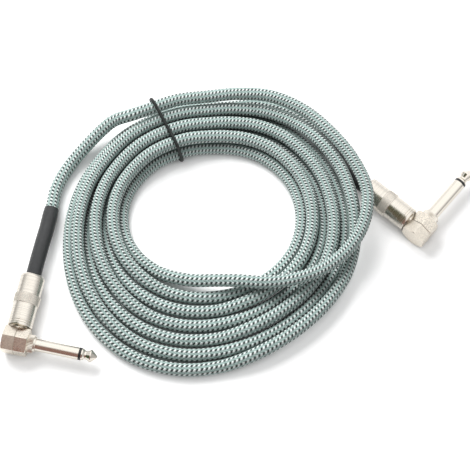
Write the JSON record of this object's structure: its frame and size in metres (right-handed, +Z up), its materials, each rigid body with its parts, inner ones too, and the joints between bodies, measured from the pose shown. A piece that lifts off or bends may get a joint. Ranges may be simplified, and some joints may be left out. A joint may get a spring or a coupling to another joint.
{
  "type": "instrument cable",
  "caption": "Coiled, tied signal cable with a woven jacket and a right-angle jack plug on each end, whose barrels unscrew from their hexagonal heads.",
  "frame": {"origin": "under the middle of the two plugs and the tie together, on the surface that the cable lies on", "axes": "+X from the left plug towards the right plug, +Z up, +Y towards the tied side of the coil"},
  "size_m": [0.2361, 0.1496, 0.0213],
  "materials": {
    "woven_jacket": "woven, satin",
    "nickel": "polished nickel plate",
    "satin_nickel": "satin nickel plate",
    "black_plastic": "semi-gloss",
    "clear_plastic": "milky, satin",
    "tinned_brass": "tinned",
    "core_insulation": "satin",
    "copper_braid": "bare braid",
    "black_sleeve": "satin shrink sleeve",
    "tie_cord": "matt"
  },
  "bodies": {
    "cable": {"left_head_body": "satin_nickel", "left_head_cap": "satin_nickel", "left_collar": "nickel", "left_shaft_sleeve": "nickel", "left_tip": "nickel", "left_tip_insulator": "black_plastic", "left_core_insulator": "clear_plastic", "left_tip_lug": "tinned_brass", "left_ground_clamp": "tinned_brass", "left_inner_conductor": "core_insulation", "left_shield_tail": "copper_braid", "left_strain_sleeve": "black_sleeve", "left_lead": "woven_jacket", "right_head_body": "satin_nickel", "right_head_cap": "satin_nickel", "right_collar": "nickel", "right_shaft_sleeve": "nickel", "right_tip": "nickel", "right_tip_insulator": "black_plastic", "right_core_insulator": "clear_plastic", "right_tip_lug": "tinned_brass", "right_ground_clamp": "tinned_brass", "right_inner_conductor": "core_insulation", "right_shield_tail": "copper_braid", "right_strain_sleeve": "black_sleeve", "right_lead": "woven_jacket", "cable_coil": "woven_jacket", "cable_tie": "tie_cord"},
    "left_liner_slide": {"left_barrel_liner": "clear_plastic"},
    "left_barrel_turn": {"left_barrel": "nickel"},
    "right_liner_slide": {"right_barrel_liner": "clear_plastic"},
    "right_barrel_turn": {"right_barrel": "nickel"}
  },
  "joints": [
    {"name": "left_barrel_screw_out", "type": "slide", "parent": "cable", "child": "left_liner_slide", "axis": [0.2079, 0.9781, 0], "range_m": [0, 0.00401]},
    {"name": "left_barrel_unscrew", "type": "hinge", "parent": "left_liner_slide", "child": "left_barrel_turn", "pos_m": [-0.1105, -0.05817, 0.00722], "axis": [0.2079, 0.9781, 0], "range_deg": [0, 1800]},
    {"name": "right_barrel_screw_out", "type": "slide", "parent": "cable", "child": "right_liner_slide", "axis": [-0.7604, 0.6494, 0], "range_m": [0, 0.00401]},
    {"name": "right_barrel_unscrew", "type": "hinge", "parent": "right_liner_slide", "child": "right_barrel_turn", "pos_m": [0.0909, 0.00086, 0.00722], "axis": [-0.7604, 0.6494, 0], "range_deg": [0, 1800]}
  ],
  "couplings": [
    {"joint": "left_barrel_screw_out", "follows": "left_barrel_unscrew", "m_per_rad": 0.00012732},
    {"joint": "right_barrel_screw_out", "follows": "right_barrel_unscrew", "m_per_rad": 0.00012732}
  ]
}
